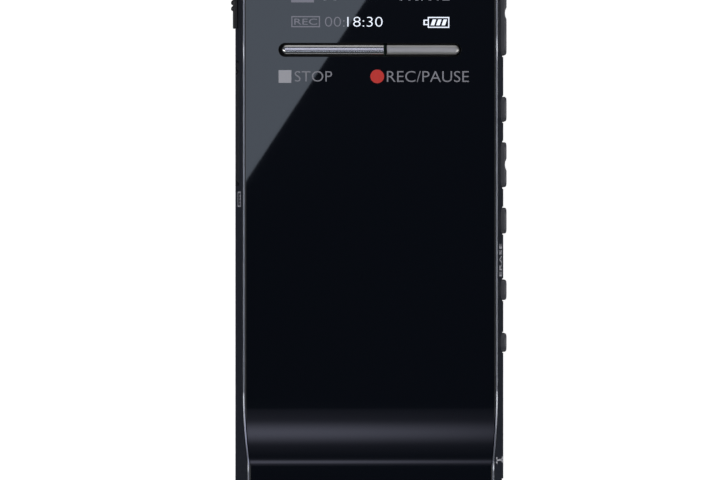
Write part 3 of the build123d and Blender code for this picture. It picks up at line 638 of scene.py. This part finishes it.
def slot_outline(z, steps=12):
    """The rounded slot for the metal bar, from its right tip over the top to the left tip and back."""
    points = []
    for centre_x, first in ((SLOT_X[1] - SLOT_R, 0.0), (SLOT_X[0] + SLOT_R, math.pi / 2)):
        for k in range(steps + 1):
            turn = first + math.pi / 2 * k / steps
            points.append((centre_x + SLOT_R * math.cos(turn), BAR_Y + SLOT_R * math.sin(turn), z))
    tips = len(points) - 1
    return points + [(x, 2 * BAR_Y - y, z) for x, y, z in reversed(points[1:tips])]


def panel_skin(form, route, drop):
    """One face of the panel, with the slot left open. Returns its rim and the slot's edge."""
    rim = [form.verts.new(rim_point(place, PANEL_INSET, drop)) for place in route]
    slot = [form.verts.new(point) for point in slot_outline(FLAT_Z - drop)]
    count = len(rim)
    above, level, below = 1, 2, 3
    for k in range(count // 2 - 1):
        if k not in (above, level):
            form.faces.new((rim[k], rim[k + 1], rim[count - 2 - k], rim[count - 1 - k]))
    half = len(slot) // 2
    upper = [rim[level], rim[above], rim[count - 1 - above], rim[count - 1 - level]]
    form.faces.new(upper + slot[: half + 1])
    lower = [rim[count - 1 - level], rim[count - 1 - below], rim[below], rim[level]]
    form.faces.new(lower + slot[half:] + slot[:1])
    return rim, slot


def front_panel():
    form = bmesh.new()
    route = rim_route(PANEL_END_Y)
    top_rim, top_slot = panel_skin(form, route, 0.0)
    low_rim, low_slot = panel_skin(form, route, PANEL_T)
    for upper, lower in ((top_rim, low_rim), (top_slot, low_slot)):
        for k in range(len(upper)):
            after = (k + 1) % len(upper)
            form.faces.new((upper[k], upper[after], lower[after], lower[k]))
    bmesh.ops.recalc_face_normals(form, faces=form.faces)
    round_edges(form, PANEL_EDGE)

    def skin(face):
        across = [vert.co.x for vert in face.verts]
        wide = max(across) - min(across) > SKIN_REACH
        return wide and face.normal.z > SKIN_SLOPE and face.calc_area() > SKIN_AREA

    def seam(face, other):
        return skin(face) != skin(other)

    surface = materials["panel_black"]
    finish_piece("polished_panel", form, surface, "recorder", ("front_panel",), seam)


def rim_strip(name, insets, material, replaces=()):
    """A strip that runs round the panel between two insets, flush with the front surface."""
    form = bmesh.new()
    outer, inner = insets
    section = ((outer, 0.0), (inner, 0.0), (inner, TRIM_DEPTH), (outer, TRIM_DEPTH))
    rings = [[rim_point(place, *corner) for corner in section] for place in rim_route(TRIM_END_Y)]
    loft(form, rings)
    bmesh.ops.recalc_face_normals(form, faces=form.faces)
    round_edges(form, TRIM_EDGE, 1)
    finish_piece(name, form, material, "recorder", replaces)


# ---- metal bar --------------------------------------------------------------------------------------
# Section of a cap in millimetres, from its crown out to each long side: distance from the middle line, and depth
# under the top. CAP_DEPTHS are the depths of the rings that a cap is skinned through.
CROWN = -0.15
FAR_SIDE = [(CROWN, 0.0), (-0.05, 0.005), (0.05, 0.017), (0.12, 0.030), (0.2, 0.052), (0.3, 0.093), (0.37, 0.133)]
FAR_SIDE += [(0.41, 0.17), (0.43, 0.21), (0.435, 0.25)]
NEAR_SIDE = [(CROWN, 0.0), (-0.2, 0.002), (-0.24, 0.006), (-0.28, 0.016), (-0.32, 0.034), (-0.36, 0.064)]
NEAR_SIDE += [(-0.4, 0.11), (-0.425, 0.17), (-0.435, 0.25)]
CAP_DEPTHS = (0.25, 0.21, 0.17, 0.14, 0.11, 0.085, 0.064, 0.046, 0.03, 0.018, 0.009, 0.004, 0.001)


def across_at(side, depth):
    """How far from the middle line the section has fallen to this depth."""
    for (near, shallow), (away, deep) in zip(side, side[1:]):
        if depth <= deep:
            return near + (away - near) * (depth - shallow) / (deep - shallow)
    return side[-1][0]


def bar_ring(x, round_side, near, far, z, steps=14):
    """The cap's outline at a height: two straight sides, one round end and one square end at the middle gap."""
    radius, middle = (far - near) / 2, BAR_Y + (far + near) / 2
    square_x, centre_x = (x[1], x[0] + BAR_R) if round_side < 0 else (x[0], x[1] - BAR_R)
    points = [(square_x, middle + radius, z)]
    for k in range(steps + 1):
        turn = math.pi / 2 - math.pi * k / steps
        points.append((centre_x + round_side * radius * math.cos(turn), middle + radius * math.sin(turn), z))
    points.append((square_x, middle - radius, z))
    return points


def bar_half(name, node, x, round_side, material):
    """A domed metal cap on a black carrier."""
    form = bmesh.new()
    rings = [bar_ring(x, round_side, -BAR_R, BAR_R, BAR_FLANGE_Z[1])]
    for depth in CAP_DEPTHS:
        near, far = across_at(NEAR_SIDE, depth) * MM, across_at(FAR_SIDE, depth) * MM
        rings.append(bar_ring(x, round_side, near, far, BAR_TOP - depth * MM))
    loft(form, rings)
    finish_piece(name + "_cap", form, material, body_name(node), (node,))
    carrier = bmesh.new()
    outer = x[0] - BAR_FLANGE_OVERHANG if round_side < 0 else x[1] + BAR_FLANGE_OVERHANG
    inner = x[1] if round_side < 0 else x[0]
    rings = []
    for z in BAR_FLANGE_Z:
        low, high = BAR_Y - BAR_FLANGE_HALF, BAR_Y + BAR_FLANGE_HALF
        rings.append([(outer, low, z), (inner, low, z), (inner, high, z), (outer, high, z)])
    loft(carrier, rings)
    bmesh.ops.recalc_face_normals(carrier, faces=carrier.faces)
    round_edges(carrier, CARRIER_EDGE)
    finish_piece(name + "_carrier", carrier, carrier_black, body_name(node))


# ---- printed and lit marks --------------------------------------------------------------------------
MARK_SINK = 0.004 * MM
MARK_RISE = 0.010 * MM
LETTER_MERGE = 1e-5
KEY_SIGN_Z = 3.9 * MM


class Surface:
    """A flat place for marks: an origin, the direction in which a mark reads, and its upward direction."""

    def __init__(self, origin, right, up, body="recorder"):
        self.origin, self.right, self.up = Vector(origin), Vector(right).normalized(), Vector(up).normalized()
        self.out = self.right.cross(self.up)
        self.body = body

    def at(self, u, v, w):
        return self.origin + self.right * u + self.up * v + self.out * w


def mark(name, surface, outlines, material):
    """Thin closed marks of ink or light. Each outline is a closed list of places in millimetres."""
    form = bmesh.new()
    for outline in outlines:
        low = [surface.at(u * MM, v * MM, -MARK_SINK) for u, v in outline]
        high = [surface.at(u * MM, v * MM, MARK_RISE) for u, v in outline]
        loft(form, (low, high))
    finish_piece(name, form, material, surface.body)


def bar_shape(u, v):
    return [(u[0], v[0]), (u[1], v[0]), (u[1], v[1]), (u[0], v[1])]


def frame_shape(u, v, line):
    """The four strokes of a box outline."""
    return [
        bar_shape(u, (v[0], v[0] + line)),
        bar_shape(u, (v[1] - line, v[1])),
        bar_shape((u[0], u[0] + line), (v[0] + line, v[1] - line)),
        bar_shape((u[1] - line, u[1]), (v[0] + line, v[1] - line)),
    ]


def disc_shape(u, v, radius, steps=40):
    turns = [2 * math.pi * k / steps for k in range(steps)]
    return [(u + radius * math.cos(turn), v + radius * math.sin(turn)) for turn in turns]


def arc_shape(u, v, radius, line, first_deg, last_deg, steps=24):
    """A stroke along part of a circle."""
    outer, inner = [], []
    for k in range(steps + 1):
        turn = math.radians(first_deg + (last_deg - first_deg) * k / steps)
        outer.append((u + (radius + line / 2) * math.cos(turn), v + (radius + line / 2) * math.sin(turn)))
        inner.append((u + (radius - line / 2) * math.cos(turn), v + (radius - line / 2) * math.sin(turn)))
    return outer + inner[::-1]


def stroke_shape(start, end, line):
    """A straight stroke from start to end."""
    run = Vector((end[0] - start[0], end[1] - start[1])).normalized() * (line / 2)
    return [
        (start[0] + run.y, start[1] - run.x),
        (end[0] + run.y, end[1] - run.x),
        (end[0] - run.y, end[1] + run.x),
        (start[0] - run.y, start[1] + run.x),
    ]


def lettering(name, surface, words, u, v, material, weight=0.0):
    """Generic words or figures that fill the box from u[0], v[0] to u[1], v[1], in millimetres."""
    text = bpy.data.curves.new(name, "FONT")
    text.body = words
    text.extrude = 0.5
    text.resolution_u = 4
    text.offset = weight
    shown = bpy.data.objects.new(name + "_text", text)
    bpy.context.scene.collection.objects.link(shown)
    bpy.context.view_layer.update()
    graph = bpy.context.evaluated_depsgraph_get()
    mesh = bpy.data.meshes.new_from_object(shown.evaluated_get(graph))
    bpy.data.objects.remove(shown)
    form = bmesh.new()
    form.from_mesh(mesh)
    bmesh.ops.remove_doubles(form, verts=form.verts, dist=LETTER_MERGE)
    low = [min(vert.co[axis] for vert in form.verts) for axis in (0, 1)]
    high = [max(vert.co[axis] for vert in form.verts) for axis in (0, 1)]
    for vert in form.verts:
        across = (vert.co.x - low[0]) / (high[0] - low[0])
        upward = (vert.co.y - low[1]) / (high[1] - low[1])
        lift = MARK_RISE if vert.co.z > 0 else -MARK_SINK
        place = ((u[0] + across * (u[1] - u[0])) * MM, (v[0] + upward * (v[1] - v[0])) * MM)
        vert.co = surface.at(*place, lift)
    finish_piece(name, form, material, surface.body)


ink_grey = glow_material("ink_grey", (0.33, 0.33, 0.37), 0.0, 0.3)
ink_light = glow_material("ink_light", (0.52, 0.52, 0.56), 0.0, 0.3)
ink_red = glow_material("ink_red", (0.80, 0.040, 0.028), 0.0, 0.25)
lit_white = glow_material("lit_white", (0.72, 0.77, 0.86), 0.8, 0.2)
lit_dim = glow_material("lit_dim", (0.12, 0.12, 0.145), 0.9, 0.2)

INK_WEIGHT = -0.008
LIT_WEIGHT = -0.016
FRONT = Surface((-0.08 * MM, 0, FLAT_Z), (1, 0, 0), (0, 1, 0))


def front_marks():
    mark("stop_square", FRONT, [bar_shape((-8.36, -7.19), (-4.22, -3.05))], ink_light)
    lettering("stop_word", FRONT, "STOP", (-6.89, -3.45), (-4.1, -3.14), ink_grey, weight=INK_WEIGHT)
    mark("record_dot", FRONT, [disc_shape(0.70, -3.62, 0.63)], ink_red)
    lettering("record_word", FRONT, "REC/PAUSE", (1.59, 9.13), (-4.13, -3.12), ink_grey, weight=INK_WEIGHT)


def display_marks():
    """What the display shows: a status row under a counter, and a level meter. All of it is generic."""
    line = 0.1
    mark("display_mode_box", FRONT, frame_shape((-7.19, -4.56), (0.89, 1.91), line), lit_dim)
    lettering("display_mode", FRONT, "REC", (-6.92, -4.82), (1.12, 1.68), lit_dim)
    lettering("display_left_dim", FRONT, "00:", (-4.11, -2.3), (0.95, 1.85), lit_dim, weight=LIT_WEIGHT)
    lettering("display_left", FRONT, "18:30", (-2.05, 1.19), (0.95, 1.85), lit_white, weight=LIT_WEIGHT)
    battery = frame_shape((5.35, 7.33), (0.85, 1.85), line)
    battery += [bar_shape((4.95, 5.08), (1.1, 1.6)), bar_shape((5.08, 5.35), (1.1, 1.2))]
    battery.append(bar_shape((5.08, 5.35), (1.5, 1.6)))
    for k in range(3):
        start = 5.62 + 0.5 * k
        battery.append([(start, 1.08), (start + 0.32, 1.08), (start + 0.5, 1.62), (start + 0.18, 1.62)])
    mark("display_battery", FRONT, battery, lit_white)
    folder = [bar_shape((-7.21, -6.3), (4.5, 4.8)), bar_shape((-7.21, -5.12), (3.17, 4.5))]
    mark("display_folder", FRONT, folder, lit_dim)
    lettering("display_folder_number", FRONT, "01", (-4.5, -3.1), (3.4, 4.6), lit_white)
    lettering("display_track_number", FRONT, "003/012", (2.6, 7.33), (3.4, 4.6), lit_white)
    lettering("display_counter", FRONT, "00:12:47", (-7.2, 7.33), (8.2, 11.4), lit_white)
    meter = []
    levels = (22, 18)
    segment, step = 0.42, 0.6
    for row, lit in enumerate(levels):
        v = 15.2 + 1.7 * row
        meter += [bar_shape((-6.0 + step * k, -6.0 + step * k + segment), (v, v + 1.1)) for k in range(lit)]
    mark("display_meter", FRONT, meter, lit_white)
    lettering("display_meter_left", FRONT, "L", (-7.2, -6.6), (16.95, 17.95), lit_white)
    lettering("display_meter_right", FRONT, "R", (-7.2, -6.5), (15.25, 16.25), lit_white)
    ticks = [bar_shape((-6.0 + 2.4 * k, -5.88 + 2.4 * k), (19.0, 19.5)) for k in range(6)]
    mark("display_meter_scale", FRONT, ticks, lit_white)
    clock = [arc_shape(-6.5, 29.6, 0.7, line, 0, 360), stroke_shape((-6.5, 29.6), (-6.5, 30.1), line)]
    clock.append(stroke_shape((-6.5, 29.6), (-6.15, 29.6), line))
    mark("display_clock", FRONT, clock, lit_white)
    lettering("display_clock_time", FRONT, "10:25", (-5.3, -1.9), (29.0, 30.2), lit_white)
    mark("display_rule", FRONT, [bar_shape((-7.2, 7.33), (27.6, 27.72))], lit_white)


FACET_MIDDLE_Z = (FACET_Z + FLAT_Z) / 2


def facet_surface(side, y, z=FACET_MIDDLE_Z, upright=False):
    """A place on a leaning side, for marks that read along the recorder, or up the side if upright."""
    x = side * (HALF_WIDTH - (z - FACET_Z) * LEAN)
    along, slope = Vector((0, side, 0)), Vector((-side * LEAN, 0, 1))
    return Surface((x, y, z), slope, -along) if upright else Surface((x, y, z), along, slope)


def key_surface(node):
    """The outer face of a side key, for a small sign that reads when the recorder stands upright."""
    low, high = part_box(node)
    return Surface((high.x, (low.y + high.y) / 2, KEY_SIGN_Z), (0, 1, 0), (0, 0, 1), body_name(node))


def side_marks():
    erase = facet_surface(1, -20.5 * MM)
    lettering("erase_word", erase, "ERASE", (-1.5, 1.5), (-0.5, 0.5), ink_light)
    plug = facet_surface(1, -38.9 * MM, 5.7 * MM, upright=True)
    cable = [stroke_shape((-1.0, 0), (1.0, 0), 0.16), disc_shape(-1.0, 0, 0.3, 20)]
    cable += [bar_shape((0.95, 1.2), (-0.32, 0.32))]
    cable += [bar_shape((1.2, 1.5), (0.12, 0.24)), bar_shape((1.2, 1.5), (-0.24, -0.12))]
    mark("cable_sign", plug, cable, ink_light)
    card = facet_surface(-1, -14.9 * MM)
    outline = frame_shape((-0.7, 0.7), (-0.45, 0.45), 0.12)
    outline += [bar_shape((k * 0.3 - 0.36, k * 0.3 - 0.24), (0.1, 0.33)) for k in range(3)]
    mark("card_sign", card, outline, ink_grey)
    power = facet_surface(-1, 12.2 * MM)
    sign = [arc_shape(0, 0, 0.5, 0.12, 120, 420), stroke_shape((0, 0.1), (0, 0.68), 0.12)]
    mark("power_sign", power, sign, ink_grey)


def key_marks():
    play = [[(-0.35, -0.42), (0.45, 0.0), (-0.35, 0.42)]]
    mark("play_sign", key_surface("play_key"), play, ink_light)
    lines = [bar_shape((-0.45, 0.45), (v - 0.06, v + 0.06)) for v in (-0.3, 0.0, 0.3)]
    mark("menu_sign", key_surface("menu_key"), lines, ink_light)
    cross = [stroke_shape((-0.32, -0.32), (0.32, 0.32), 0.13), stroke_shape((-0.32, 0.32), (0.32, -0.32), 0.13)]
    mark("erase_sign", key_surface("erase_key"), cross, ink_light)
    flag = [bar_shape((-0.3, -0.18), (-0.5, 0.5)), [(-0.18, 0.5), (-0.18, 0.0), (0.4, 0.25)]]
    mark("mark_sign", key_surface("mark_key"), flag, ink_light)
    plus = [bar_shape((2.5, 3.1), (-0.06, 0.06)), bar_shape((2.74, 2.86), (0.06, 0.3))]
    plus += [bar_shape((2.74, 2.86), (-0.3, -0.06)), bar_shape((-3.1, -2.5), (-0.06, 0.06))]
    mark("volume_sign", key_surface("volume_rocker"), plus, ink_light)
    arrows = []
    for side in (-1, 1):
        for start in (0.95, 1.3):
            arrows.append([(side * start, -0.28), (side * (start + 0.35), 0.0), (side * start, 0.28)])
        arrows.append(bar_shape(sorted((side * 1.65, side * 1.75)), (-0.28, 0.28)))
    mark("skip_sign", key_surface("skip_rocker"), arrows, ink_light)


# ---- the pieces -------------------------------------------------------------------------------------
front_panel()
rim_strip("bright_trim", (TRIM_LIP, TRIM_WIDTH), materials["trim_metal"], ("bezel_trim",))
rim_strip("trim_lip", (0.0, TRIM_LIP), materials["frame_black"])
bar_half("stop_bar", "stop_button", STOP_X, -1, materials["bar_metal"])
bar_half("record_bar", "record_button", RECORD_X, 1, bar_satin)
KEYS = ("play_key", "menu_key", "erase_key", "mark_key", "volume_rocker", "skip_rocker")
for node in KEYS:
    softened(node, KEY_EDGE)
front_marks()
display_marks()
side_marks()
key_marks()
